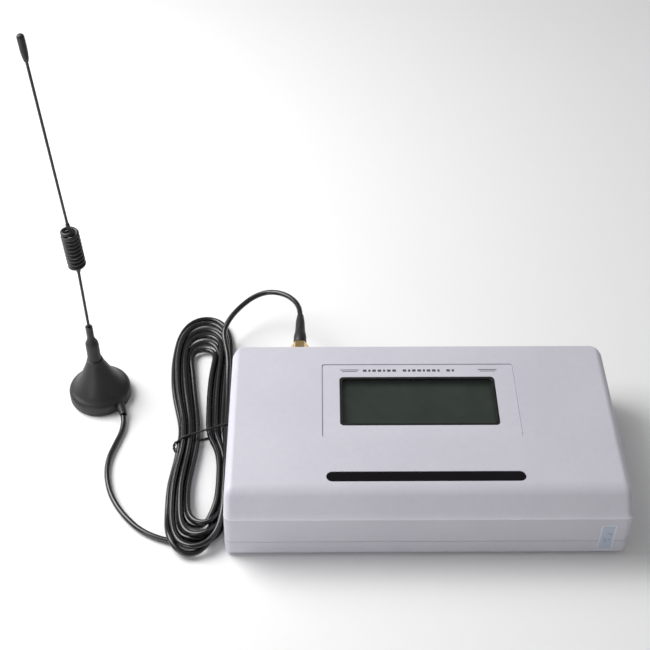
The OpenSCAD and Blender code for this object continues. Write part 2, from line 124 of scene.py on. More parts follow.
def tube(name, pts, r, seg=16, caps=True, dome=False):
    """A closed round tube along pts, in mm. r is one radius or one for each point."""
    pts = np.array(pts, float)
    n = len(pts)
    r = np.full(n, float(r)) if np.isscalar(r) else np.array(r, float)
    t, u, v = frames(pts)
    if dome:
        # two small rings at each end round it over
        head = [pts[0] - t[0] * r[0] * k for k in (0.85, 0.6)]
        tail = [pts[-1] + t[-1] * r[-1] * k for k in (0.6, 0.85)]
        pts = np.array(head + list(pts) + tail)
        r = np.array([r[0] * 0.5, r[0] * 0.83] + list(r) + [r[-1] * 0.83, r[-1] * 0.5])
        u = np.array([u[0], u[0]] + list(u) + [u[-1], u[-1]])
        v = np.array([v[0], v[0]] + list(v) + [v[-1], v[-1]])
        n = len(pts)
    verts, faces = [], []
    for i in range(n):
        for k in range(seg):
            a = 2 * math.pi * k / seg
            verts.append(pts[i] + r[i] * (math.cos(a) * u[i] + math.sin(a) * v[i]))
    for i in range(n - 1):
        for k in range(seg):
            faces.append((i * seg + k, i * seg + (k + 1) % seg, (i + 1) * seg + (k + 1) % seg, (i + 1) * seg + k))
    faces.append(tuple(reversed(range(seg))))
    faces.append(tuple((n - 1) * seg + k for k in range(seg)))
    return fix_normals(smooth(mesh_obj(name, verts, faces), 50))


def lathe(name, profile, centre, seg=64, axis="Z", sharp=40.0):
    """A turned solid. profile is (radius, along) pairs in mm; a radius of 0 closes an end on the axis."""
    verts, faces, rings = [], [], []
    for r, z in profile:
        if r < 1e-6:
            rings.append([len(verts)])
            verts.append((0.0, 0.0, z))
        else:
            rings.append(list(range(len(verts), len(verts) + seg)))
            for k in range(seg):
                a = 2 * math.pi * k / seg
                verts.append((r * math.cos(a), r * math.sin(a), z))
    for a, b in zip(rings[:-1], rings[1:]):
        for k in range(seg):
            k2 = (k + 1) % seg
            if len(a) == 1 and len(b) == 1:
                break
            if len(a) == 1:
                faces.append((a[0], b[k], b[k2]))
            elif len(b) == 1:
                faces.append((a[k], b[0], a[k2]))
            else:
                faces.append((a[k], b[k], b[k2], a[k2]))
    if len(rings[0]) > 1 and len(rings[-1]) > 1:
        a, b = rings[-1], rings[0]
        for k in range(seg):
            k2 = (k + 1) % seg
            faces.append((a[k], b[k], b[k2], a[k2]))
    out = []
    for x, y, z in verts:
        if axis == "Y":
            x, y, z = x, z, -y
        out.append((x + centre[0], y + centre[1], z + centre[2]))
    return smooth(fix_normals(mesh_obj(name, out, faces)), sharp)


def rrect(w, d, r, n=6, cx=0.0, cy=0.0):
    pts = []
    for sx, sy, a0 in ((1, 1, 0), (-1, 1, 90), (-1, -1, 180), (1, -1, 270)):
        for i in range(n + 1):
            a = math.radians(a0 + 90 * i / n)
            pts.append((cx + sx * (w / 2 - r) + r * math.cos(a), cy + sy * (d / 2 - r) + r * math.sin(a)))
    return pts


def stadium(l, w, n=14, cx=0.0, cy=0.0):
    pts = []
    for s, a0 in ((1, -90), (-1, 90)):
        for i in range(n + 1):
            a = math.radians(a0 + 180 * i / n)
            pts.append((cx + s * (l - w) / 2 + w / 2 * math.cos(a), cy + w / 2 * math.sin(a)))
    return pts


def loft(name, rings, close_top=True):
    """Joins rings of the same number of points into a closed solid."""
    n = len(rings[0])
    verts = [p for r in rings for p in r]
    faces = []
    for i in range(len(rings) - 1):
        for k in range(n):
            faces.append((i * n + k, i * n + (k + 1) % n, (i + 1) * n + (k + 1) % n, (i + 1) * n + k))
    faces.append(tuple(reversed(range(n))))
    faces.append(tuple((len(rings) - 1) * n + k for k in range(n)))
    return fix_normals(mesh_obj(name, verts, faces))


def prism(name, pts, z0, z1):
    return loft(name, [[(x, y, z0) for x, y in pts], [(x, y, z1) for x, y in pts]])


def box_obj(name, x0, x1, y0, y1, z0, z1):
    return prism(name, [(x0, y0), (x1, y0), (x1, y1), (x0, y1)], z0, z1)


def rod_y(name, x, y0, z, r, l, seg=40):
    a = [2 * math.pi * k / seg for k in range(seg)]
    rings = [[(x + r * math.cos(t), y, z + r * math.sin(t)) for t in a] for y in (y0, y0 + l)]
    return loft(name, rings)


def rod_z(name, x, y, z0, r, h, seg=32):
    a = [2 * math.pi * k / seg for k in range(seg)]
    return prism(name, [(x + r * math.cos(t), y + r * math.sin(t)) for t in a], z0, z0 + h)


def merge(name, obs):
    """One object from several, kept as separate closed parts."""
    bm = bmesh.new()
    for o in obs:
        bm.from_mesh(o.data)
    me = bpy.data.meshes.new(name)
    bm.to_mesh(me)
    bm.free()
    for o in obs:
        bpy.data.objects.remove(o)
    return link(name, me)


def cut(ob, tool, operation="DIFFERENCE", keep=False):
    m = ob.modifiers.new("b", "BOOLEAN")
    m.operation = operation
    m.solver = "EXACT"
    m.object = tool
    dg = bpy.context.evaluated_depsgraph_get()
    me = bpy.data.meshes.new_from_object(ob.evaluated_get(dg))
    ob.modifiers.remove(m)
    ob.data = me
    if not keep:
        bpy.data.objects.remove(tool)
    return ob


def clean(ob, d=0.004):
    bm = bmesh.new()
    bm.from_mesh(ob.data)
    bmesh.ops.remove_doubles(bm, verts=bm.verts, dist=d * MM)
    bmesh.ops.dissolve_degenerate(bm, edges=bm.edges, dist=d * MM)
    bmesh.ops.recalc_face_normals(bm, faces=bm.faces)
    bm.to_mesh(ob.data)
    bm.free()
    return ob


# ---------------------------------------------------------------- the cable
# the two leads lie on the CAD route, in mm
LEAD = [[-59.1, 84.5, 24], [-59.8, 90.5, 23.9], [-62, 96.5, 23.2], [-66, 102, 22.2], [-71.6, 106.2, 20.8],
        [-78.2, 108, 19.2], [-85, 106, 17.6], [-91, 101.2, 16], [-96, 95, 14.6], [-99.2, 88.5, 13], [-100, 82, 11.6]]
FAR = [[-112, -45, 2], [-120, -43.4, 1.6], [-128, -40.4, 1.5], [-135, -36, 1.5], [-141, -30, 1.5], [-146, -23.4, 1.5],
       [-150, -16, 1.5], [-152.6, -8, 1.5], [-153.8, 0, 1.5], [-153.4, 8, 1.5], [-151.4, 16, 1.5], [-149.4, 23.6, 1.6],
       [-149, 31, 2.2], [-151, 38.4, 3.4]]
CD = 2.8                      # cable diameter
CR = CD / 2


def catmull(p, s):
    p = [np.array(q, float) for q in p]
    out = []
    for i in range(len(p) - 1):
        a, b, c, d = p[max(0, i - 1)], p[i], p[i + 1], p[min(len(p) - 1, i + 2)]
        for j in range(s):
            t = j / s
            out.append(0.5 * ((2 * b) + (c - a) * t + (2 * a - 5 * b + 4 * c - d) * t * t + (3 * b - a - 3 * c + d) * t ** 3))
    out.append(p[-1])
    return np.array(out)


def resample(line, step):
    seg = np.linalg.norm(np.diff(line, axis=0), axis=1)
    s = np.concatenate([[0], np.cumsum(seg)])
    n = max(2, int(round(s[-1] / step)) + 1)
    at = np.linspace(0, s[-1], n)
    return np.stack([np.interp(at, s, line[:, k]) for k in range(3)], axis=1)


# outline of the left side of the hank (y, x) and how wide its bundle is there (y, width)
LEFT_X = [(-60, -117.0), (-44, -121.0), (-35, -122.0), (-23, -123.2), (-11, -123.3), (1, -121.9), (14, -120.0), (24, -119.9),
          (41, -124.0), (55, -127.0), (73, -127.8), (88, -126.0)]
LEFT_W = [(-30, 13.0), (-16, 11.8), (3, 11.6), (17, 10.6), (24, 10.4), (38, 12.0), (52, 13.0), (60, 12.8), (66, 12.2), (74, 11.6), (80, 10.4)]
# the right side stands against the case
RIGHT_X = [(-60, -96.4), (-30, -93.4), (-15, -93.5), (0, -93.8), (22, -95.0), (44, -95.3), (78, -95.3), (88, -96.4)]
RIGHT_W = [(-30, 6.0), (-12, 5.4), (0, 5.6), (8, 7.6), (17, 10.6), (24, 11.4), (44, 12.2), (60, 12.0), (66, 11.4), (74, 11.0), (80, 10.4)]


def look(table, y):
    ys = [a for a, b in table]
    return float(np.interp(y, ys, [b for a, b in table]))


def left_at(k, y):
    w = look(LEFT_W, y)
    x = look(LEFT_X, y) + CR + k * (w - CD) / 5
    return [x, y, 1.4 if k % 2 == 0 else 4.0]


# place of each pass in the pile against the case: column and height
PILE = {0: (0, 1.4), 2: (1, 1.4), 1: (0, 4.2), 4: (1, 4.2), 3: (0, 7.0), 5: (1, 7.0), "L": (0, 9.8)}


def right_at(k, y):
    w, xo = look(RIGHT_W, y), look(RIGHT_X, y)
    kk = 0 if k == "L" else k
    wide = [xo - CR - kk * (w - CD) / 5, y, 6.6 if k == "L" else 1.4 if kk % 2 == 0 else 4.0]
    col, z = PILE[k]
    tall = [xo - CR - col * 2.8, y, z]
    s = min(1.0, max(0.0, (18 - y) / 18))
    s = s * s * (3 - 2 * s)
    return [wide[i] * (1 - s) + tall[i] * s for i in range(3)]


def fold(x0, x1, y_end, b, up, z, angles, lean=0.0, bulge=0.0):
    """Points round a hank's end: from x0 to x1, reaching y_end."""
    xm, a = (x0 + x1) / 2, (x1 - x0) / 2
    out = []
    e = 0.84 if b > 1.3 * abs(a) else 1.0     # long folds keep their ends round
    for f in angles:
        t = math.radians(f)
        c = math.copysign(abs(math.cos(t)) ** e, math.cos(t))
        out.append([xm - (a + bulge * math.sin(t)) * c + lean * math.sin(t), y_end - b * (1 - math.sin(t) ** e) * up, z])
    return out


def hank():
    down_y = [74, 62, 50, 38, 27, 17, 8, -2, -11, -20]
    up_y = [-20, -12, -2, 8, 17, 27, 38, 50, 62, 73]
    # passes on the right, the way round the bottom, and the pass on the left that follows
    passes = [("L", 1), (1, 3), (3, 5), (5, 4), (4, 2), (2, 0)]
    bottom = {("L", 1): (-50.2, 4.2), (1, 3): (-43.4, 4.2), (3, 5): (-37.0, 4.6),
              (5, 4): (-36.0, 1.4), (4, 2): (-44.8, 2.4), (2, 0): (-52.6, 1.6)}
    top = {1: (102.2, 4.2, 0), 3: (92.2, 4.2, 0), 5: (81.0, 4.4, 0.3), 4: (88.0, 1.4, 0.3), 2: (97.6, 1.4, 0), 0: (106.4, 1.4, 0)}
    start_y = {5: 73.8, 4: 77, 3: 79, 2: 79, 1: 79, 0: 79}    # where the fold at the top begins
    pts = []
    for right, left in passes:
        for y in (down_y if right != "L" else [72, 60, 48, 37, 27, 17, 8, -2, -11, -20]):
            p = right_at(right, y)
            if right == "L":
                lift = max(0.0, (y - 30) / 42) * 2.6
                p[2] += lift
                p[0] -= max(0.0, (y - 40) / 32) * 0.8
            elif y > start_y[right] - 4:
                continue
            pts.append(p)
        y_end, z = bottom[(right, left)]
        p0, p1 = right_at(right, -24), left_at(left, -24)
        b = -24 - y_end
        za = p0[2]
        for j, q in enumerate(fold(p0[0], p1[0], y_end, b, -1, z, (24, 56, 90, 124, 156))):
            s = min(1.0, (j + 1) / 3)
            q[2] = za * (1 - s) + z * s
            g = math.exp(-((q[0] + 114) ** 2 + (q[1] + 45) ** 2) / 90)
            q[2] += 2.8 * g
            pts.append(q)
        y0 = start_y[left]
        for y in up_y:
            if y <= y0 - 4:
                pts.append(left_at(left, y))
        y_end, z, lean = top[left]
        p0, p1 = left_at(left, y0), right_at(left, y0)
        b = y_end - y0
        for q in fold(p0[0], p1[0], y_end, b, 1, z, (22, 56, 90, 124, 158), lean, 3.4 if left == 5 else 0.0):
            pts.append(q)
    for y in down_y:
        pts.append(right_at(0, y))
    pts += [[-94.9, -29, 1.4], [-96.4, -37, 1.4], [-100.4, -43, 1.4], [-106, -45.6, 1.5]]
    return pts


def relax(x, pinned, n_iter, floor, settle=0.012):
    """Moves the line's points apart where its turns lie in each other, and keeps it smooth, on the floor and off the case."""
    n = len(x)
    h = np.linalg.norm(np.diff(x, axis=0), axis=1).mean()
    home = x.copy()
    free = (~pinned).astype(float)[:, None]
    pairs = None
    for it in range(n_iter):
        last = it > n_iter * 0.8
        if it % 6 == 0:
            g = x @ x.T
            q = np.diag(g)
            d2 = q[:, None] + q[None, :] - 2 * g
            i, j = np.nonzero(np.triu(d2 < 4.6 ** 2, 4))
            pairs = (i, j)
        i, j = pairs
        d = x[j] - x[i]
        r = np.linalg.norm(d, axis=1)
        hit = r < CD + 0.04
        i2, j2, d2v, r2 = i[hit], j[hit], d[hit], np.maximum(r[hit], 0.05)
        push = (0.5 * (CD + 0.04 - r2) / r2)[:, None] * d2v
        move, count = np.zeros_like(x), np.ones(n)
        np.add.at(move, i2, -push)
        np.add.at(move, j2, push)
        np.add.at(count, i2, 0.35)
        np.add.at(count, j2, 0.35)
        x = x + free * move / count[:, None] * 0.8
        # bending
        lap = np.zeros_like(x)
        lap[1:-1] = 0.5 * (x[:-2] + x[2:]) - x[1:-1]
        lap2 = np.zeros_like(x)
        lap2[1:-1] = lap[1:-1] - 0.5 * (lap[:-2] + lap[2:])
        x = x + free * (0.10 * lap + 0.5 * lap2) * (0.5 if last else 1.0)
        # spacing along the line
        s = np.diff(x, axis=0)
        sl = np.linalg.norm(s, axis=1)
        c = (0.25 * (sl - h) / sl)[:, None] * s
        m = np.zeros_like(x)
        m[:-1] += c
        m[1:] -= c
        x = x + free * m
        # stay near the place laid out, and settle
        k = np.array([0.02, 0.02, 0.0])
        x = x + free * (home - x) * k
        x[:, 2] -= free[:, 0] * settle * (0.0 if last else 1.0)
        low = floor(x)
        x[:, 2] = np.where(pinned, x[:, 2], np.maximum(x[:, 2], low))
        wall = (x[:, 1] < 52) & ~pinned
        x[:, 0] = np.where(wall & (x[:, 2] < 34), np.minimum(x[:, 0], -94.75), x[:, 0])
    return x


TIE_Y, TIE_M, TIE_X = 17.0, 0.35, -115.0


def tie_gap(x):
    return x[:, 1] - (TIE_Y + TIE_M * (x[:, 0] - TIE_X))


def floor_height(x):
    near = np.clip(1 - (np.abs(tie_gap(x)) - 1.5) / 8, 0, 1)
    near = near * near * (3 - 2 * near)
    return 1.4 + 1.05 * near


lead_line = catmull(LEAD, 2)
far_line = catmull(FAR, 2)
ctrl = [list(p) for p in LEAD] + hank() + [list(p) for p in FAR]
raw = resample(catmull(ctrl, 8), 2.6)
in_lead = np.array([np.min(np.linalg.norm(lead_line - p, axis=1)) < 2.6 for p in raw])
in_far = np.array([np.min(np.linalg.norm(far_line - p, axis=1)) < 2.6 for p in raw])
idx = np.arange(len(raw))
pinned = (in_lead & (idx < 60)) | (in_far & (idx > len(raw) - 90))
cable_line = relax(raw, pinned, 420, floor_height)
cable_line[pinned] = raw[pinned]


def min_gap(x):
    g = x @ x.T
    q = np.diag(g)
    d2 = np.sqrt(np.maximum(q[:, None] + q[None, :] - 2 * g, 0))
    i, j = np.nonzero(np.triu(np.ones_like(d2, bool), 5))
    d = d2[i, j]
    return d.min(), (d < CD - 0.25).sum(), (d < 1.6).sum()


print("CABLE points", len(cable_line), "length", round(float(np.linalg.norm(np.diff(cable_line, axis=0), axis=1).sum()), 1),
      "gap", min_gap(cable_line), "z", cable_line[:, 2].min(), cable_line[:, 2].max())



# ---------------------------------------------------------------- materials
def node(nt, kind, **values):
    n = nt.nodes.new(kind)
    for k, v in values.items():
        setattr(n, k, v)
    return n


def noise(nt, coord, scale, detail=4.0, rough=0.55, dist=0.0):
    n = node(nt, "ShaderNodeTexNoise")
    n.inputs["Scale"].default_value = scale
    n.inputs["Detail"].default_value = detail
    n.inputs["Roughness"].default_value = rough
    n.inputs["Distortion"].default_value = dist
    nt.links.new(coord, n.inputs["Vector"])
    return n.outputs["Fac"]


def ramp(nt, fac, stops):
    r = node(nt, "ShaderNodeValToRGB")
    while len(r.color_ramp.elements) < len(stops):
        r.color_ramp.elements.new(0.5)
    for e, (p, c) in zip(r.color_ramp.elements, stops):
        e.position = p
        e.color = c if len(c) == 4 else (*c, 1)
    nt.links.new(fac, r.inputs["Fac"])
    return r.outputs["Color"]


def maprange(nt, fac, lo, hi, a=0.0, b=1.0):
    m = node(nt, "ShaderNodeMapRange")
    m.inputs["From Min"].default_value = a
    m.inputs["From Max"].default_value = b
    m.inputs["To Min"].default_value = lo
    m.inputs["To Max"].default_value = hi
    nt.links.new(fac, m.inputs["Value"])
    return m.outputs["Result"]


def mathn(nt, op, a, b=None, clamp=False):
    m = node(nt, "ShaderNodeMath", operation=op, use_clamp=clamp)
    for k, v in enumerate((a, b)):
        if v is None:
            continue
        if isinstance(v, (int, float)):
            m.inputs[k].default_value = v
        else:
            nt.links.new(v, m.inputs[k])
    return m.outputs[0]


def mixc(nt, fac, a, b):
    m = node(nt, "ShaderNodeMix", data_type="RGBA")
    for sock, v in ((m.inputs[0], fac), (m.inputs[6], a), (m.inputs[7], b)):
        if isinstance(v, (int, float)):
            sock.default_value = v
        elif isinstance(v, tuple):
            sock.default_value = v if len(v) == 4 else (*v, 1)
        else:
            nt.links.new(v, sock)
    return m.outputs[2]


def bump(nt, height, strength, distance, normal=None):
    b = node(nt, "ShaderNodeBump")
    b.inputs["Strength"].default_value = strength
    b.inputs["Distance"].default_value = distance
    nt.links.new(height, b.inputs["Height"])
    if normal is not None:
        nt.links.new(normal, b.inputs["Normal"])
    return b.outputs["Normal"]


def srgb(r, g, b):
    def f(c):
        c /= 255
        return c / 12.92 if c <= 0.04045 else ((c + 0.055) / 1.055) ** 2.4
    return (f(r), f(g), f(b))


MATS = {}


def start(name):
    m = bpy.data.materials.new(name)
    m.use_nodes = True
    nt = m.node_tree
    nt.nodes.clear()
    out = node(nt, "ShaderNodeOutputMaterial")
    p = node(nt, "ShaderNodeBsdfPrincipled")
    nt.links.new(p.outputs[0], out.inputs[0])
    co = node(nt, "ShaderNodeTexCoord").outputs["Object"]
    MATS[name] = m
    return m, nt, p, co, out


def plastic(name, a, b, rough=(0.36, 0.46), grain=2200.0, grain_h=0.012, blotch=22.0, specks=0.0, spec=0.5, coat=0.0, coat_rough=0.1):
    """Moulded plastic: two near tones in soft blotches, a fine moulded grain and a sheen that varies."""
    m, nt, p, co, out = start(name)
    big = noise(nt, co, blotch, 3.0, 0.5)
    fine = noise(nt, co, blotch * 14, 4.0, 0.6)
    tone = mathn(nt, "ADD", mathn(nt, "MULTIPLY", big, 0.65), mathn(nt, "MULTIPLY", fine, 0.35))
    nt.links.new(ramp(nt, tone, [(0.36, a), (0.64, b)]), p.inputs["Base Color"])
    nt.links.new(maprange(nt, fine, rough[0], rough[1], 0.3, 0.7), p.inputs["Roughness"])
    h = noise(nt, co, grain, 3.0, 0.6)
    nt.links.new(bump(nt, h, 0.35, grain_h * MM), p.inputs["Normal"])
    p.inputs["Specular IOR Level"].default_value = spec
    p.inputs["Coat Weight"].default_value = coat
    p.inputs["Coat Roughness"].default_value = coat_rough
    return m


def metal(name, a, b, rough=(0.2, 0.34), lines=(1, 1, 1), scale=900.0, h=0.004):
    """Machined metal: tool marks along one direction and a tone that drifts a little."""
    m, nt, p, co, out = start(name)
    mp = node(nt, "ShaderNodeMapping")
    mp.inputs["Scale"].default_value = lines
    nt.links.new(co, mp.inputs["Vector"])
    marks = noise(nt, mp.outputs[0], scale, 4.0, 0.6)
    big = noise(nt, co, 160.0, 3.0)
    nt.links.new(ramp(nt, big, [(0.35, a), (0.65, b)]), p.inputs["Base Color"])
    nt.links.new(maprange(nt, marks, rough[0], rough[1], 0.3, 0.7), p.inputs["Roughness"])
    nt.links.new(bump(nt, marks, 0.4, h * MM), p.inputs["Normal"])
    p.inputs["Metallic"].default_value = 1.0
    return m


plastic("case_plastic", srgb(199, 197, 207), srgb(205, 203, 212), rough=(0.34, 0.44), grain=1700.0, grain_h=0.010)
plastic("panel_plastic", srgb(200, 198, 208), srgb(207, 205, 214), rough=(0.40, 0.50), grain=2600.0, grain_h=0.014)
plastic("black_gloss", srgb(9, 6, 11), srgb(13, 10, 15), rough=(0.12, 0.18), grain=700.0, grain_h=0.002, spec=0.25)
plastic("black_plastic", srgb(24, 23, 25), srgb(32, 31, 33), rough=(0.38, 0.52), grain=2400.0, grain_h=0.02)
plastic("rubber_black", srgb(22, 21, 23), srgb(33, 32, 34), rough=(0.40, 0.56), grain=2600.0, grain_h=0.03, blotch=60.0)
plastic("rubber_grey", srgb(62, 62, 66), srgb(76, 76, 80), rough=(0.62, 0.8), grain=2600.0, grain_h=0.05, blotch=80.0)
plastic("cable_jacket", srgb(10, 9, 11), srgb(17, 15, 18), rough=(0.24, 0.28), grain=500.0, grain_h=0.0015, blotch=12.0, coat=0.3, coat_rough=0.12)
plastic("whip_black", srgb(20, 19, 22), srgb(31, 30, 33), rough=(0.28, 0.42), grain=3000.0, grain_h=0.012, blotch=90.0)
plastic("cream_plastic", srgb(226, 219, 200), srgb(236, 230, 214), rough=(0.4, 0.5))
plastic("yellow_plastic", srgb(222, 186, 52), srgb(232, 200, 70), rough=(0.34, 0.46), grain_h=0.012)
plastic("sim_plastic", srgb(226, 224, 222), srgb(238, 237, 236), rough=(0.36, 0.46))
plastic("flat_cable", srgb(198, 200, 208), srgb(214, 216, 222), rough=(0.3, 0.4))
metal("steel", (0.46, 0.46, 0.48), (0.56, 0.56, 0.58), rough=(0.22, 0.38))
metal("tin_shield", (0.58, 0.57, 0.55), (0.68, 0.67, 0.65), rough=(0.26, 0.42), scale=300.0)
metal("gold_brass", (0.66, 0.46, 0.20), (0.78, 0.58, 0.30), rough=(0.16, 0.30), lines=(1, 0.1, 1))
metal("nickel", (0.56, 0.54, 0.50), (0.68, 0.66, 0.62), rough=(0.14, 0.28), lines=(1, 0.1, 1))


def build_lcd():
    """Dark grey-green glass, with the faint cells of the display under it."""
    m, nt, p, co, out = start("lcd")
    big = noise(nt, co, 55.0, 4.0, 0.6)
    base = ramp(nt, big, [(0.3, srgb(48, 57, 50)), (0.7, srgb(61, 70, 62))])
    sx = node(nt, "ShaderNodeSeparateXYZ")
    nt.links.new(co, sx.inputs[0])

    def lines(sock, pitch, width):
        f = mathn(nt, "FRACT", mathn(nt, "MULTIPLY", sock, 1000.0 / pitch))
        return mathn(nt, "LESS_THAN", mathn(nt, "ABSOLUTE", mathn(nt, "SUBTRACT", f, 0.5)), width)
    grid = mathn(nt, "MULTIPLY", lines(sx.outputs[0], 0.72, 0.42), lines(sx.outputs[1], 0.78, 0.42))
    nt.links.new(mixc(nt, mathn(nt, "MULTIPLY", grid, 0.16), base, srgb(30, 37, 33)), p.inputs["Base Color"])
    nt.links.new(maprange(nt, big, 0.12, 0.2, 0.3, 0.7), p.inputs["Roughness"])
    nt.links.new(bump(nt, noise(nt, co, 600.0, 2.0), 0.2, 0.003 * MM), p.inputs["Normal"])


def build_window():
    """A clear acrylic pane: what is behind it shows, with a faint gloss on top."""
    m, nt, p, co, out = start("window_clear")
    p.inputs["Base Color"].default_value = (*srgb(60, 66, 64), 1)
    p.inputs["Alpha"].default_value = 0.14
    p.inputs["Specular IOR Level"].default_value = 0.5
    big = noise(nt, co, 40.0, 3.0)
    nt.links.new(maprange(nt, big, 0.04, 0.09, 0.3, 0.7), p.inputs["Roughness"])
    nt.links.new(bump(nt, noise(nt, co, 90.0, 2.0), 0.1, 0.002 * MM), p.inputs["Normal"])


def build_board():
    """Green solder mask with copper runs under it."""
    m, nt, p, co, out = start("circuit_board")
    vo = node(nt, "ShaderNodeTexVoronoi", feature="F1", distance="CHEBYCHEV")
    vo.inputs["Scale"].default_value = 260.0
    nt.links.new(co, vo.inputs["Vector"])
    runs = ramp(nt, vo.outputs["Distance"], [(0.28, (0, 0, 0)), (0.32, (1, 1, 1)), (0.40, (1, 1, 1)), (0.44, (0, 0, 0))])
    big = noise(nt, co, 60.0, 3.0)
    base = ramp(nt, big, [(0.35, (0.010, 0.085, 0.035)), (0.65, (0.016, 0.12, 0.05))])
    nt.links.new(mixc(nt, mathn(nt, "MULTIPLY", runs, 0.55), base, (0.05, 0.26, 0.10)), p.inputs["Base Color"])
    nt.links.new(maprange(nt, big, 0.25, 0.38, 0.3, 0.7), p.inputs["Roughness"])
    nt.links.new(bump(nt, runs, 0.3, 0.03 * MM), p.inputs["Normal"])


def build_misc():
    m, nt, p, co, out = start("diffuser")
    big = noise(nt, co, 50.0, 2.0)
    nt.links.new(ramp(nt, big, [(0.35, srgb(196, 214, 150)), (0.65, srgb(208, 224, 166))]), p.inputs["Base Color"])
    nt.links.new(maprange(nt, big, 0.5, 0.62, 0.3, 0.7), p.inputs["Roughness"])
    p.inputs["Subsurface Weight"].default_value = 0.2
    p.inputs["Subsurface Scale"].default_value = 0.002

    m, nt, p, co, out = start("led_lens")
    big = noise(nt, co, 300.0, 2.0)
    nt.links.new(ramp(nt, big, [(0.35, (0.42, 0.05, 0.03)), (0.65, (0.52, 0.08, 0.05))]), p.inputs["Base Color"])
    nt.links.new(maprange(nt, big, 0.1, 0.2, 0.3, 0.7), p.inputs["Roughness"])
    p.inputs["Transmission Weight"].default_value = 0.35

    m, nt, p, co, out = start("battery_wrap")
    sx = node(nt, "ShaderNodeSeparateXYZ")
    nt.links.new(co, sx.inputs[0])
    band = mathn(nt, "LESS_THAN", mathn(nt, "ABSOLUTE", mathn(nt, "ADD", sx.outputs[1], 0.006)), 0.006)
    wr = noise(nt, co, 90.0, 4.0, 0.6, 0.8)
    base = ramp(nt, wr, [(0.35, srgb(48, 92, 158)), (0.65, srgb(58, 106, 176))])
    nt.links.new(mixc(nt, mathn(nt, "MULTIPLY", band, 0.8), base, srgb(216, 220, 226)), p.inputs["Base Color"])
    nt.links.new(maprange(nt, wr, 0.2, 0.34, 0.3, 0.7), p.inputs["Roughness"])
    nt.links.new(bump(nt, wr, 0.35, 0.12 * MM), p.inputs["Normal"])

    m, nt, p, co, out = start("magnet")
    g = noise(nt, co, 500.0, 5.0, 0.7)
    nt.links.new(ramp(nt, g, [(0.35, (0.10, 0.10, 0.105)), (0.65, (0.17, 0.17, 0.175))]), p.inputs["Base Color"])
    nt.links.new(maprange(nt, g, 0.4, 0.6, 0.3, 0.7), p.inputs["Roughness"])
    nt.links.new(bump(nt, g, 0.4, 0.03 * MM), p.inputs["Normal"])
    p.inputs["Metallic"].default_value = 0.7

    # plain seal foil: silver blue with a pale rim and a fine woven pattern
    m, nt, p, co, out = start("sticker_foil")
    mp = node(nt, "ShaderNodeMapping")
    mp.inputs["Location"].default_value = (-0.0822, 0.051, -0.0133)
    nt.links.new(co, mp.inputs["Vector"])
    rot = mp
    sx = node(nt, "ShaderNodeSeparateXYZ")
    nt.links.new(rot.outputs[0], sx.inputs[0])
    ax = mathn(nt, "ABSOLUTE", sx.outputs[0])
    az = mathn(nt, "ABSOLUTE", sx.outputs[2])
    rim = mathn(nt, "MAXIMUM", mathn(nt, "GREATER_THAN", ax, 0.0029), mathn(nt, "GREATER_THAN", az, 0.0085))
    w1 = node(nt, "ShaderNodeTexWave", bands_direction="DIAGONAL", wave_profile="SIN")
    w1.inputs["Scale"].default_value = 620.0
    w1.inputs["Distortion"].default_value = 1.5
    nt.links.new(rot.outputs[0], w1.inputs["Vector"])
    spots = node(nt, "ShaderNodeTexVoronoi")
    spots.inputs["Scale"].default_value = 360.0
    nt.links.new(rot.outputs[0], spots.inputs["Vector"])
    mark = mathn(nt, "MULTIPLY", mathn(nt, "LESS_THAN", spots.outputs["Distance"], 0.26), mathn(nt, "LESS_THAN", ax, 0.0022))
    base = ramp(nt, w1.outputs["Fac"], [(0.2, srgb(176, 186, 204)), (0.8, srgb(196, 204, 218))])
    base = mixc(nt, mathn(nt, "MULTIPLY", mark, 0.5), base, srgb(112, 126, 158))
    nt.links.new(mixc(nt, rim, base, srgb(222, 226, 234)), p.inputs["Base Color"])
    nt.links.new(maprange(nt, w1.outputs["Fac"], 0.26, 0.42), p.inputs["Roughness"])
    nt.links.new(bump(nt, w1.outputs["Fac"], 0.3, 0.01 * MM), p.inputs["Normal"])
    p.inputs["Metallic"].default_value = 0.2

    # dark printing ink on the panel, slightly worn
    m, nt, p, co, out = start("ink")
    g = noise(nt, co, 1500.0, 4.0, 0.6)
    nt.links.new(ramp(nt, g, [(0.35, srgb(62, 60, 68)), (0.65, srgb(86, 84, 94))]), p.inputs["Base Color"])
    nt.links.new(maprange(nt, g, 0.45, 0.6, 0.3, 0.7), p.inputs["Roughness"])

    # printed border under the clear window
    m, nt, p, co, out = start("mask_black")
    g = noise(nt, co, 300.0, 3.0, 0.6)
    nt.links.new(ramp(nt, g, [(0.35, srgb(12, 12, 14)), (0.65, srgb(20, 20, 22))]), p.inputs["Base Color"])
    nt.links.new(maprange(nt, g, 0.3, 0.42, 0.3, 0.7), p.inputs["Roughness"])
    nt.links.new(bump(nt, g, 0.3, 0.01 * MM), p.inputs["Normal"])


build_lcd()
build_window()
build_board()
build_misc()


def paint(ob, name):
    ob.data.materials.clear()
    ob.data.materials.append(MATS[name])
    return ob


# ---------------------------------------------------------------- the case
HW, YB, YF, ZT, WALL = 93.2, 50.5, -51.0, 36.0, 2.2
PY = 14.0                     # middle of the display panel
VY = 13.6                     # middle of the window
BAR_Y = -33.1
PX, VX, BX = -0.7, -1.3, -0.5  # panel, window and light bar across the case
PORT_Z = 14.1
CRY, CRR, CRA = -36.2, 10.0, math.radians(41)   # curved front edge: start, radius, and slope of the flat below it
SLOPE_Y = -49.9               # where the slope ends, above the front face


def slope_end(o):
    return ZT - CRR + (CRR - o) * math.cos(CRA) - (CRY - (CRR - o) * math.sin(CRA) - SLOPE_Y - o * math.sin(CRA)) * math.tan(CRA)


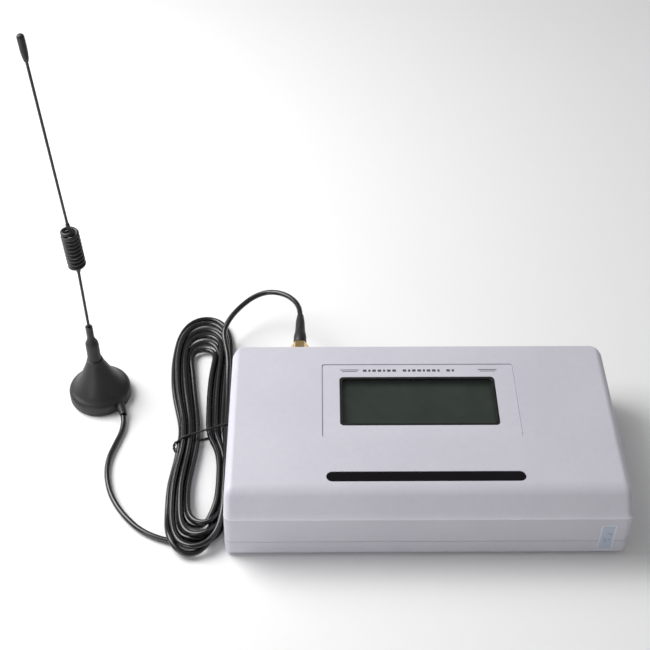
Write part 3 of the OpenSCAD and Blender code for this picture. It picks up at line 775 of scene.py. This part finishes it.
def case_ring(z, o, n=8):
    """The case's outline at one height, drawn in by o."""
    hx = HW - 0.6 * max(0.0, min(1.0, (z - 2.6) / 29.4)) - o
    side = 0.0
    if z > ZT - 4:
        r = 4 - o
        side = r - math.sqrt(max(0.0, r * r - (z - (ZT - 4)) ** 2))
    rear = 0.0
    r = max(0.2, 1.2 - o)
    if z > ZT - o - r:
        rear = r - math.sqrt(max(0.0, r * r - (z - (ZT - o - r)) ** 2))
    front = YF + o
    r = CRR - o
    rf = max(0.9, 3.5 - o - 0.5 * side)
    if z >= ZT - CRR + r * math.cos(CRA):
        front = CRY - math.sqrt(max(0.0, r * r - (z - (ZT - CRR)) ** 2))
    elif z >= slope_end(o) - 1e-6:
        front = SLOPE_Y + o * math.sin(CRA) + (z - slope_end(o)) / math.tan(CRA)
    hx -= side
    ry = YB - o - rear
    rr = max(0.6, 6 - o - 0.9 * max(side, rear))
    pts = []
    for sx, sy, a0, rc in ((1, 1, 0, rr), (-1, 1, 90, rr), (-1, -1, 180, rf), (1, -1, 270, rf)):
        for i in range(n + 1):
            a = math.radians(a0 + 90 * i / n)
            cy = ry - rc if sy > 0 else front + rc
            pts.append((sx * (hx - rc) + rc * math.cos(a), cy + rc * math.sin(a), z))
    return pts


def case_solid(name, o, z0, z1, low=()):
    drops = [1.0, 0.92, 0.84, 0.75, 0.66, 0.57, 0.48, 0.4, 0.32, 0.25, 0.19, 0.14, 0.1, 0.07, 0.045, 0.026, 0.013, 0.005, 0.0012, 0.0]
    top = ZT - o
    zc = slope_end(o)
    zf = ZT - CRR + (CRR - o) * math.cos(CRA)
    zs = list(low) + [zc - 0.4, zc, zc + (zf - zc) * 0.25, zc + (zf - zc) * 0.5, zc + (zf - zc) * 0.7, zc + (zf - zc) * 0.85]
    zs += [top - d * (top - zf) for d in drops]
    zs = [z for z in zs if z0 < z < z1]
    zs = [z0] + zs + [z1]
    return loft(name, [case_ring(z, o) for z in zs])


def top_skin():
    ob = case_solid("case_top_shell", 0.0, 10.8, ZT, (12, 15, 18, 21))
    hollow = case_solid("hollow", WALL, 5.0, ZT - WALL, (10, 15, 18, 21))
    cut(ob, hollow)
    # bosses under the top
    post = [(84, 41), (-84, 41), (84, -41), (-84, -41)]
    disp = [(44, -8.2), (-44, -8.2), (44, 35.4), (-44, 35.4)]
    bosses = []
    for i, (x, y) in enumerate(post):
        bosses.append(rod_z("b", x, y, 12.2, 3.2, ZT - 13.5 - 0.6))
    for x, y in disp:
        bosses.append(rod_z("b", x, y, 27.9, 2.2, 6.4))
    for s in (-1, 1):
        bosses.append(rod_z("b", BX + s * 49.7, BAR_Y, 26.7, 2.1, 7.4))
    bm = merge("bosses", bosses)
    clip = case_solid("clip", WALL - 0.4, 5.0, ZT - WALL + 0.4, (10, 15, 18, 21))
    cut(bm, clip, "INTERSECT")
    cut(ob, bm, "UNION")
    tools = [rod_z("t", x, y, 11, 1.3, 15) for x, y in post] + [rod_z("t", x, y, 26, 0.95, 6.5) for x, y in disp]
    tools.append(prism("t", rrect(94.3, 47.3, 1.2, 5, PX, PY), ZT - 1, ZT + 4))
    cut(ob, merge("tools", tools))
    tools = [prism("t", rrect(80.4, 34.4, 1.0, 5, VX, VY), ZT - 5, ZT + 6)]
    tools.append(prism("t", stadium(91.2, 5.8, 14, BX, BAR_Y), ZT - 5, ZT + 6))
    # rear openings
    tools.append(rod_y("t", -59.1, YB - WALL - 4, 24, 3.3, WALL + 8))
    tools.append(box_obj("t", -38.2, -7.8, YB - WALL - 1, YB + 4, PORT_Z + 0.6, PORT_Z + 4.5))
    tools.append(rod_y("t", -3.4, YB - WALL - 1, PORT_Z + 2.6, 1.7, WALL + 4))
    for x in (13, 30):
        tools.append(box_obj("t", x - 6.85, x + 6.85, YB - WALL - 1, YB + 4, PORT_Z - 0.2, PORT_Z + 12.0))
    tools.append(box_obj("t", 45.3, 54.7, YB - WALL - 1, YB + 4, PORT_Z - 0.2, PORT_Z + 11.2))
    tools.append(box_obj("t", 72 - 6.6, 72 + 6.6, YB - WALL - 1, YB + 4, 19.4 - 4.4, 19.4 + 4.4))
    cut(ob, merge("tools", tools))
    clean(ob, 0.003)
    smooth(ob, 24)
    bevel(ob, 0.22, 2, 34)
    return ob


shell = paint(top_skin(), "case_plastic")
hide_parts("top_cover")
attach(shell, "root")


# ---------------------------------------------------------------- CAD nodes that stay, with soft edges
def carry(name, material, width=0.15, segments=2, angle=36.0):
    ob = NODES[name]
    me = ob.data
    if "custom_normal" in me.attributes:
        me.attributes.remove(me.attributes["custom_normal"])
    if "sharp_edge" in me.attributes:
        me.attributes.remove(me.attributes["sharp_edge"])
    me.shade_smooth()
    me.materials.clear()
    me.materials.append(MATS[material])
    w = ob.modifiers.new("weld", "WELD")
    w.merge_threshold = 2e-6
    if width:
        b = ob.modifiers.new("edge", "BEVEL")
        b.width = width * MM
        b.segments = segments
        b.limit_method = "ANGLE"
        b.angle_limit = math.radians(angle)
    n = ob.modifiers.new("normals", "WEIGHTED_NORMAL")
    n.keep_sharp = False
    return ob


for name, material, width in (
        ("bottom_case", "case_plastic", 0.2), ("battery_cover", "case_plastic", 0.2), ("display_panel", "panel_plastic", 0.12),
        ("lcd_frame", "black_plastic", 0.1), ("lcd_glass", "lcd", 0.15), ("backlight", "diffuser", 0.15),
        ("display_board", "circuit_board", 0.1), ("display_screws", "steel", 0.08), ("light_bar_window", "black_gloss", 0.28),
        ("led_board", "circuit_board", 0.1), ("status_leds", "led_lens", 0.1), ("main_board", "circuit_board", 0.12),
        ("board_screws", "steel", 0.1), ("radio_shield", "tin_shield", 0.2), ("sim_holder", "sim_plastic", 0.15),
        ("sim_tray", "black_plastic", 0.2), ("sim_card", "gold_brass", 0.1), ("sim_eject_button", "yellow_plastic", 0.2),
        ("phone_socket_left", "black_plastic", 0.25), ("phone_socket_right", "black_plastic", 0.25), ("dc_jack", "black_plastic", 0.25),
        ("switch_housing", "black_plastic", 0.3), ("switch_rocker", "black_plastic", 0.3), ("battery_pack", "battery_wrap", 0.5),
        ("buzzer", "black_plastic", 0.3), ("ribbon_cable", "flat_cable", 0.05), ("ribbon_connectors", "cream_plastic", 0.2),
        ("antenna_pigtail", "rubber_grey", 0.0), ("sma_jack", "gold_brass", 0.12), ("sma_lock_washer", "nickel", 0.06),
        ("sma_jack_nut", "gold_brass", 0.2), ("case_screws", "steel", 0.12), ("rubber_feet", "rubber_grey", 0.25),
        ("sma_plug_body", "gold_brass", 0.15), ("sma_plug_pin", "gold_brass", 0.06), ("sma_coupling_nut", "gold_brass", 0.25),
        ("base_magnet", "magnet", 0.2), ("base_pad", "rubber_grey", 0.1), ("mast_ferrule", "whip_black", 0.12),
        ("lower_whip", "whip_black", 0.0), ("upper_whip", "whip_black", 0.0)):
    carry(name, material, width)


# ---------------------------------------------------------------- display and printing
pane = prism("window_pane", rrect(80, 34, 0.9, 5, VX, VY), 33.8, 35.0)
smooth(pane, 30)
bevel(pane, 0.1, 1)
paint(pane, "window_clear")
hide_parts("display_window")
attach(pane, "root")


def ring_plate(name, w, d, r, w2, d2, r2, z0, z1, cx, cy):
    n = 6
    a, b = rrect(w, d, r, n, cx, cy), rrect(w2, d2, r2, n, cx, cy)
    m = len(a)
    verts = [(x, y, z0) for x, y in a] + [(x, y, z1) for x, y in a] + [(x, y, z1) for x, y in b] + [(x, y, z0) for x, y in b]
    faces = []
    for q in range(4):
        q2 = (q + 1) % 4
        for k in range(m):
            k2 = (k + 1) % m
            faces.append((q * m + k, q * m + k2, q2 * m + k2, q2 * m + k))
    return fix_normals(mesh_obj(name, verts, faces))


rim = ring_plate("window_rim", 75.96, 31.36, 1.98, 73.3, 28.7, 1.6, 35.01, 35.5, VX, VY)
smooth(rim, 30)
bevel(rim, 0.1, 2)
paint(rim, "mask_black")
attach(rim, "root")
gasket = ring_plate("window_gasket", 79.6, 33.6, 0.9, 76.2, 31.6, 1.6, 33.24, 33.77, VX, VY)
smooth(gasket, 30)
bevel(gasket, 0.08, 1)
paint(gasket, "mask_black")
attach(gasket, "root")

# generic printing above the window: a row of short bars between two pairs of rules
prints = []


def bar(x0, x1, y0, y1):
    z = 35.6
    r = min(0.12, (y1 - y0) / 2.5, (x1 - x0) / 2.5)
    prints.append(prism("p", rrect(x1 - x0, y1 - y0, r, 3, (x0 + x1) / 2, (y0 + y1) / 2), z - 0.02, z + 0.03))


TEXT_Y = 33.55
widths = [1.8, 1.1, 1.8, 1.8, 1.1, 1.8, 1.8, 0, 1.8, 1.1, 1.8, 1.8, 1.1, 1.8, 1.8, 1.1, 0, 1.8, 1.1]
total = sum(w if w else 1.6 for w in widths) + 0.85 * (len(widths) - 1)
x = -27.6
for i, w in enumerate(widths):
    if w:
        bar(x, x + w, TEXT_Y - 0.75, TEXT_Y + 0.75)
        x += w + 0.85
    else:
        x += 1.6 + 0.85
print("TEXT ends", x)
for x0, x1 in ((-38.8, -29.6), (29.2, 38.4)):
    bar(x0, x1, TEXT_Y + 0.3, TEXT_Y + 0.75)
    bar(x0 + 0.8, x1 - 0.8, TEXT_Y - 0.7, TEXT_Y - 0.3)
ink = merge("panel_printing", prints)
paint(ink, "ink")
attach(ink, "root")

# plain seal foil low on the right of the front face
sp = []
for x, z in rrect(6.9, 18.4, 0.4, 4):
    sp.append((82.2 + x, 13.3 + z))
sticker = loft("seal_foil", [[(x, YF - 0.01, z) for x, z in sp], [(x, YF - 0.13, z) for x, z in sp]])
smooth(sticker, 30)
bevel(sticker, 0.04, 1)
paint(sticker, "sticker_foil")
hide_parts("seal_sticker")
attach(sticker, "root")

# ---------------------------------------------------------------- rear details
pins = []
for sx in (13, 30):
    for i in range(4):
        px = sx + (i - 1.5) * 1.02
        pins.append(tube("w", [(px, 39.3, 21.9), (px, 39.2, 20.0), (px, 39.9, 17.9), (px, 41.4, 16.7), (px, 43.4, 16.25), (px, 45.2, 16.2)],
                         0.2, 8))
contacts = merge("phone_contacts", pins)
smooth(contacts, 50)
paint(contacts, "gold_brass")
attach(contacts, "root")
pin = lathe("dc_centre_pin", [(1.03, 39.6), (1.2, 39.7), (1.2, 48.2), (1.05, 48.5), (1.03, 48.5)], (50, 0, 0), 32, "Y")
# the lathe turns about the line through z = 20.1
pin.data.transform(Matrix.Translation((0, 0, 20.1 * MM)))
paint(pin, "nickel")
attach(pin, "root")
leaf = lathe("dc_sleeve", [(2.72, 41.2), (2.97, 41.2), (2.97, 49.6), (2.72, 49.6)], (50, 0, 0), 40, "Y")
leaf.data.transform(Matrix.Translation((0, 0, 20.1 * MM)))
paint(leaf, "nickel")
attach(leaf, "root")

# ---------------------------------------------------------------- the antenna
AX, AY = -163.2, 51.0


def smooth_profile(points, n=6):
    """A rounder profile through the same points."""
    p = [np.array([a, b, 0.0]) for a, b in points]
    return [(float(q[0]), float(q[1])) for q in catmull(p, n)]


bell = smooth_profile([(15.75, 4.6), (15.55, 5.9), (14.75, 7.0), (13.2, 8.2), (11.4, 10.4), (9.9, 12.8), (8.6, 15.2), (7.3, 18.0),
                       (6.1, 20.8), (5.1, 23.2), (4.4, 25.2), (4.05, 26.6)], 4)
prof = [(12.25, 0.62), (15.2, 0.62), (15.55, 0.8), (15.75, 1.25), (15.75, 3.0)] + bell + [(3.9, 27.0), (3.6, 27.18), (1.35, 27.18), (1.35, 5.8), (12.25, 5.8)]
base = lathe("antenna_base_bell", prof, (AX, AY, 0), 96, sharp=38)
paint(base, "rubber_black")
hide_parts("antenna_base")
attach(base, "root")
boot_prof = [(1.35, 27.22)] + [(3.1, 27.22), (3.45, 27.5)] + smooth_profile([(3.5, 28.2), (3.35, 30.0), (3.3, 34.0), (3.3, 37.2), (3.1, 38.7), (2.5, 39.9),
                                                                             (2.12, 41.0), (1.98, 41.6)], 3) + [(1.85, 41.95), (1.35, 41.98)]
boot = lathe("mast_boot_sleeve", boot_prof, (AX, AY, 0), 64, sharp=40)
paint(boot, "rubber_black")
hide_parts("mast_boot")
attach(boot, "root")


def along(ob, at, direction):
    """Turns a solid made along Z, in mm from the origin, to lie along a direction from a point."""
    d = Vector(direction).normalized()
    q = Vector((0, 0, 1)).rotation_difference(d)
    ob.data.transform(Matrix.Translation(Vector(at) * MM) @ q.to_matrix().to_4x4())
    return ob


# strain relief where the cable goes into the base
d_in = Vector((-0.342, 0.94, 0.0))
inlet = lathe("base_inlet_sleeve", [(1.45, -5.2), (1.75, -5.0), (1.95, -3.2), (2.25, -1.0), (2.3, 0.5), (2.3, 4.4), (1.45, 4.4)], (0, 0, 0), 40, sharp=40)
along(inlet, (-151, 38.4, 3.4), d_in)
paint(inlet, "rubber_black")
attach(inlet, "root")

# spring coil, with its two ends drawn in to the whips
C0, C1, TURNS, CRAD, WIRE = 88.5, 112.5, 10, 3.55, 1.7
pts = []
steps = TURNS * 26
for i in range(steps + 1):
    t = i / steps
    a = 2 * math.pi * TURNS * t
    grow = min(1.0, i / 16, (steps - i) / 16)
    grow = math.sin(grow * math.pi / 2)
    rad = 0.9 + (CRAD - 0.9) * grow
    pts.append((AX - 1.0 * t + rad * math.cos(a), AY + rad * math.sin(a), C0 + WIRE / 2 + (C1 - C0 - WIRE) * t))
head = [(AX, AY, C0 - 2.4), (AX + 0.1, AY, C0 - 1.0), (AX + 0.45, AY - 0.05, C0 + 0.2)]
tail = [(AX - 1 + 0.45, AY + 0.05, C1 - 0.2), (AX - 1.0, AY, C1 + 1.2), (AX - 1.12, AY, C1 + 3.0)]
coil_pts = np.array(head + pts[2:-2] + tail)
radii = [0.95, 1.1, 0.9] + [WIRE / 2] * (len(coil_pts) - 6) + [0.9, 1.1, 0.95]
coil = tube("spring_coil_wire", coil_pts, radii, 14)
paint(coil, "whip_black")
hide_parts("spring_coil")
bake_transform(coil)

# tip
lean = math.radians(-2.8)
cap = lathe("tip_cap_moulded", [(0.0, 0.0)] + [(0.72, 0.0), (0.95, 0.15)] + smooth_profile([(1.15, 1.0), (1.42, 2.6), (1.58, 4.6), (1.65, 7.5), (1.65, 10.8),
                                (1.55, 12.0), (1.2, 12.55), (0.7, 12.78)], 3) + [(0.3, 12.8), (0.0, 12.8)], (0, 0, 0), 40, sharp=45)
up = Vector((math.sin(lean), 0, math.cos(lean)))
foot = Vector((AX - 1.05, AY, C1 + 1.3))
along(cap, foot + up * 88.0, up)
paint(cap, "rubber_black")
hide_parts("tip_cap")
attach(cap, "whip_top")

# ---------------------------------------------------------------- cable, plug boot and tie
curve = bpy.data.curves.new("antenna_cable", "CURVE")
curve.dimensions = "3D"
curve.bevel_depth = CR * MM
curve.bevel_resolution = 5
curve.use_fill_caps = True
sp = curve.splines.new("POLY")
fine_line = resample(catmull([list(p) for p in cable_line], 3), 1.7)
sp.points.add(len(fine_line) - 1)
for i, p in enumerate(fine_line):
    sp.points[i].co = (p[0] * MM, p[1] * MM, p[2] * MM, 1)
sp.use_smooth = True
cable = link("antenna_cable", curve)
curve.materials.append(MATS["cable_jacket"])
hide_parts("cable_lead_plug", "cable_hank", "cable_lead_antenna")
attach(cable, "root")

boot2 = lathe("plug_boot_sleeve", [(0.0, 68.52), (2.97, 68.52), (2.97, 63.8), (3.22, 63.8), (3.3, 63.95)] + smooth_profile([(3.3, 67.2), (3.24, 69.2), (2.95, 71.0),
              (2.62, 73.4), (2.45, 77.0), (2.36, 79.6), (2.15, 81.4), (1.88, 83.4), (1.72, 84.6)], 3) + [(1.6, 85.0), (0.0, 85.0)], (-59.1, 0, 0), 48, "Y", sharp=45)
boot2.data.transform(Matrix.Translation((0, 0, 24 * MM)))
paint(boot2, "rubber_black")
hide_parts("plug_boot")
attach(boot2, "root")


def hull(points):
    pts = sorted(map(tuple, points))

    def half(ps):
        h = []
        for p in ps:
            while len(h) > 1 and (h[-1][0] - h[-2][0]) * (p[1] - h[-2][1]) - (h[-1][1] - h[-2][1]) * (p[0] - h[-2][0]) <= 0:
                h.pop()
            h.append(p)
        return h[:-1]
    return half(pts) + half(pts[::-1])


# the wire goes round every strand that crosses its plane
g = tie_gap(fine_line)
cross = []
for i in range(len(g) - 1):
    if g[i] * g[i + 1] < 0:
        t = g[i] / (g[i] - g[i + 1])
        p = fine_line[i] * (1 - t) + fine_line[i + 1] * t
        if p[0] > -130 and p[1] < 60 and p[1] > -20:
            cross.append(p)
nrm = math.hypot(1, TIE_M)
TW = 0.5                      # radius of the tie wire
cloud = []
for p in cross:
    s = (p[0] - TIE_X) * nrm
    for k in range(24):
        a = 2 * math.pi * k / 24
        cloud.append((s + (CR * 1.05 + TW) * math.cos(a), p[2] + (CR + TW) * math.sin(a)))
loop = hull(cloud)
loop = np.array([(TIE_X + s / nrm, TIE_Y + TIE_M * s / nrm, max(z, 0.52)) for s, z in loop])
loop = np.vstack([loop, loop[:1]])
loop = resample(loop, 1.0)[:-1]
for _ in range(3):
    loop = 0.25 * np.roll(loop, 1, 0) + 0.5 * loop + 0.25 * np.roll(loop, -1, 0)
top_i = int(np.argmin(np.linalg.norm(loop - np.array([-103.5, TIE_Y + TIE_M * (-103.5 - TIE_X), 9.5]), axis=1)))
loop = np.roll(loop, -top_i, 0)
loop = np.vstack([loop, loop[:1] + np.array([[0, 0.0, 0.35]])])
tie_band = tube("t", loop, TW, 10)
twist = []
left_i = int(np.argmin(loop[:, 0]))
lp = loop[left_i]
# its two ends are twisted together and bent down along the bundle
for s in (0, math.pi):
    axis = catmull([lp + np.array(v) for v in ((0.7, 0.3, 1.2), (-0.5, -0.5, 1.3), (-1.0, -2.0, 1.0), (-0.9, -3.6, 0.6), (-0.3, -5.0, 0.4), (0.5, -6.0, 0.6))], 8)
    turn = np.linspace(0, 2 * math.pi * 2.5, len(axis)) + s
    off = np.stack([0.42 * np.cos(turn), 0.1 * np.cos(turn), 0.42 * np.sin(turn)], axis=1)
    q = axis + off
    q[:, 2] = np.maximum(q[:, 2], 0.5)
    twist.append(tube("t", q, 0.4, 8, dome=True))
tie = merge("cable_twist_tie", [tie_band] + twist)
smooth(tie, 50)
paint(tie, "black_plastic")
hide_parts("cable_tie")
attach(tie, "root")
print("TIE crossings", len(cross), "length", round(float(np.linalg.norm(np.diff(loop, axis=0), axis=1).sum()), 1))

# ---------------------------------------------------------------- floor and light
bpy.ops.mesh.primitive_plane_add(size=9, location=(-0.04, 0.0, -0.0002))
floor = bpy.context.object
floor.name = "floor"
m, nt, p, co, out = start("floor")
big = noise(nt, co, 1.6, 3.0)
nt.links.new(ramp(nt, big, [(0.3, (0.90, 0.90, 0.90)), (0.7, (0.93, 0.93, 0.93))]), p.inputs["Base Color"])
p.inputs["Roughness"].default_value = 0.6
p.inputs["Specular IOR Level"].default_value = 0.2
floor.data.materials.append(m)

world = bpy.data.worlds.new("world")
world.use_nodes = True
world.node_tree.nodes["Background"].inputs[0].default_value = (1.0, 1.0, 1.0, 1)
world.node_tree.nodes["Background"].inputs[1].default_value = 0.30
scene.world = world


def area(name, at, target, size, power, size_y=None):
    li = bpy.data.lights.new(name, "AREA")
    li.energy = power
    li.shape = "RECTANGLE"
    li.size = size
    li.size_y = size_y or size
    ob = bpy.data.objects.new(name, li)
    scene.collection.objects.link(ob)
    ob.location = at
    ob.visible_camera = False
    ob.rotation_mode = "QUATERNION"
    ob.rotation_quaternion = (Vector(target) - Vector(at)).to_track_quat("-Z", "Y")
    return ob


area("key", (-0.50, 0.17, 0.47), (-0.04, 0.0, 0.0), 0.5, 4.7)
area("back", (-1.25, 0.85, 1.9), (0.0, 0.0, 0.0), 1.2, 11.0)
area("fill", (-0.36, -0.30, 0.05), (-0.07, -0.05, 0.01), 0.2, 0.36)
scene.view_settings.view_transform = "Standard"
scene.view_settings.look = "None"
